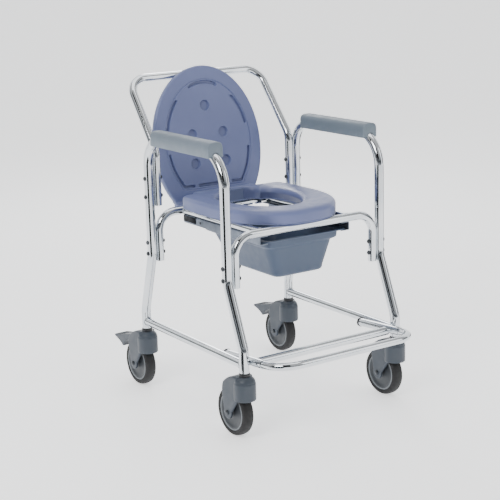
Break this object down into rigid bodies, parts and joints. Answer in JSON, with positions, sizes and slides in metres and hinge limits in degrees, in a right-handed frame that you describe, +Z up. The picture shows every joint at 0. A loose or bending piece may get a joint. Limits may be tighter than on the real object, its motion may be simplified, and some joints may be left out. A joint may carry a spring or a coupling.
{
  "type": "commode chair",
  "caption": "Wheeled commode chair: bent chrome tube frame with arm pads, hinged seat ring and lid, slide-out pan and footrest, swivel castors, the rear ones with brake pedals.",
  "frame": {"origin": "on the floor, under the middle of the chair's outline from the footrest's bar to the brake pedals' tips", "axes": "+Z up, the sitter faces -Y, and the sitter's left is +X"},
  "size_m": [0.5356, 0.7615, 0.8627],
  "materials": {
    "chrome_tube": "bright chrome plating on bent steel tube",
    "seat_plastic": "smooth moulded polypropylene, satin gloss",
    "pan_plastic": "moulded polypropylene, satin",
    "pad_plastic": "moulded plastic, fine grain",
    "castor_plastic": "moulded nylon, satin",
    "wheel_plastic": "moulded nylon wheel centre",
    "tyre": "black rubber tread",
    "black_plastic": "black moulded nylon",
    "runner_steel": "dark plated steel channel",
    "bolt_steel": "dark zinc-plated steel"
  },
  "bodies": {
    "frame": {"side_frame_left": "chrome_tube", "lower_rail_left": "chrome_tube", "footrest_guide_left": "chrome_tube", "seat_rail_left": "chrome_tube", "guide_plug_left": "black_plastic", "pan_runner_left": "runner_steel", "arm_pad_left": "pad_plastic", "pad_screw_1_left": "bolt_steel", "front_arch_bolt_1_left": "bolt_steel", "rear_arch_bolt_1_left": "bolt_steel", "back_bolt_1_left": "bolt_steel", "pad_screw_2_left": "bolt_steel", "front_arch_bolt_2_left": "bolt_steel", "rear_arch_bolt_2_left": "bolt_steel", "back_bolt_2_left": "bolt_steel", "side_frame_right": "chrome_tube", "lower_rail_right": "chrome_tube", "footrest_guide_right": "chrome_tube", "seat_rail_right": "chrome_tube", "guide_plug_right": "black_plastic", "pan_runner_right": "runner_steel", "arm_pad_right": "pad_plastic", "pad_screw_1_right": "bolt_steel", "front_arch_bolt_1_right": "bolt_steel", "rear_arch_bolt_1_right": "bolt_steel", "back_bolt_1_right": "bolt_steel", "pad_screw_2_right": "bolt_steel", "front_arch_bolt_2_right": "bolt_steel", "rear_arch_bolt_2_right": "bolt_steel", "back_bolt_2_right": "bolt_steel", "front_crossbar": "chrome_tube", "front_seat_arch": "chrome_tube", "rear_seat_arch": "chrome_tube", "back_bow": "chrome_tube", "castor_stem_front_left": "black_plastic", "castor_stem_front_right": "black_plastic", "castor_stem_rear_left": "black_plastic", "castor_stem_rear_right": "black_plastic"},
    "footrest": {"footrest": "chrome_tube"},
    "pan": {"pan": "pan_plastic"},
    "seat": {"seat_ring": "seat_plastic"},
    "lid": {"lid": "seat_plastic"},
    "castor_front_left": {"castor_fork_front_left": "castor_plastic", "castor_axle_front_left": "bolt_steel"},
    "wheel_front_left": {"castor_wheel_front_left": "wheel_plastic", "castor_tyre_front_left": "tyre"},
    "castor_front_right": {"castor_fork_front_right": "castor_plastic", "castor_axle_front_right": "bolt_steel"},
    "wheel_front_right": {"castor_wheel_front_right": "wheel_plastic", "castor_tyre_front_right": "tyre"},
    "castor_rear_left": {"castor_fork_rear_left": "castor_plastic", "castor_axle_rear_left": "bolt_steel"},
    "wheel_rear_left": {"castor_wheel_rear_left": "wheel_plastic", "castor_tyre_rear_left": "tyre"},
    "castor_rear_right": {"castor_fork_rear_right": "castor_plastic", "castor_axle_rear_right": "bolt_steel"},
    "wheel_rear_right": {"castor_wheel_rear_right": "wheel_plastic", "castor_tyre_rear_right": "tyre"},
    "pedal_rear_left": {"brake_pedal_rear_left": "castor_plastic"},
    "pedal_rear_right": {"brake_pedal_rear_right": "castor_plastic"}
  },
  "joints": [
    {"name": "lid_hinge", "type": "hinge", "parent": "frame", "child": "lid", "pos_m": [0, 0.17475, 0.494], "axis": [1, 0, 0], "range_deg": [0, 99.4]},
    {"name": "seat_hinge", "type": "hinge", "parent": "frame", "child": "seat", "pos_m": [0, 0.17475, 0.494], "axis": [1, 0, 0], "range_deg": [-98, 0]},
    {"name": "pan_slide", "type": "slide", "parent": "frame", "child": "pan", "axis": [0, 1, 0], "range_m": [0, 0.32]},
    {"name": "footrest_slide", "type": "slide", "parent": "frame", "child": "footrest", "axis": [0, -0.9969, 0.0785], "range_m": [0, 0.09]},
    {"name": "swivel_front_left", "type": "hinge", "parent": "frame", "child": "castor_front_left", "pos_m": [0.2385, -0.25525, 0.15], "axis": [0, 0, 1], "continuous": true},
    {"name": "wheel_spin_front_left", "type": "hinge", "parent": "castor_front_left", "child": "wheel_front_left", "pos_m": [0.2385, -0.21125, 0.0625], "axis": [1, 0, 0], "continuous": true},
    {"name": "swivel_front_right", "type": "hinge", "parent": "frame", "child": "castor_front_right", "pos_m": [-0.2385, -0.25525, 0.15], "axis": [0, 0, 1], "continuous": true},
    {"name": "wheel_spin_front_right", "type": "hinge", "parent": "castor_front_right", "child": "wheel_front_right", "pos_m": [-0.2385, -0.21125, 0.0625], "axis": [1, 0, 0], "continuous": true},
    {"name": "swivel_rear_left", "type": "hinge", "parent": "frame", "child": "castor_rear_left", "pos_m": [0.2385, 0.22275, 0.15], "axis": [0, 0, 1], "continuous": true},
    {"name": "wheel_spin_rear_left", "type": "hinge", "parent": "castor_rear_left", "child": "wheel_rear_left", "pos_m": [0.2385, 0.26675, 0.0625], "axis": [1, 0, 0], "continuous": true},
    {"name": "swivel_rear_right", "type": "hinge", "parent": "frame", "child": "castor_rear_right", "pos_m": [-0.2385, 0.22275, 0.15], "axis": [0, 0, 1], "continuous": true},
    {"name": "wheel_spin_rear_right", "type": "hinge", "parent": "castor_rear_right", "child": "wheel_rear_right", "pos_m": [-0.2385, 0.26675, 0.0625], "axis": [1, 0, 0], "continuous": true},
    {"name": "brake_pedal_left", "type": "hinge", "parent": "castor_rear_left", "child": "pedal_rear_left", "pos_m": [0.2385, 0.28275, 0.136], "axis": [-1, 0, 0], "range_deg": [0, 8]},
    {"name": "brake_pedal_right", "type": "hinge", "parent": "castor_rear_right", "child": "pedal_rear_right", "pos_m": [-0.2385, 0.28275, 0.136], "axis": [-1, 0, 0], "range_deg": [0, 8]}
  ]
}
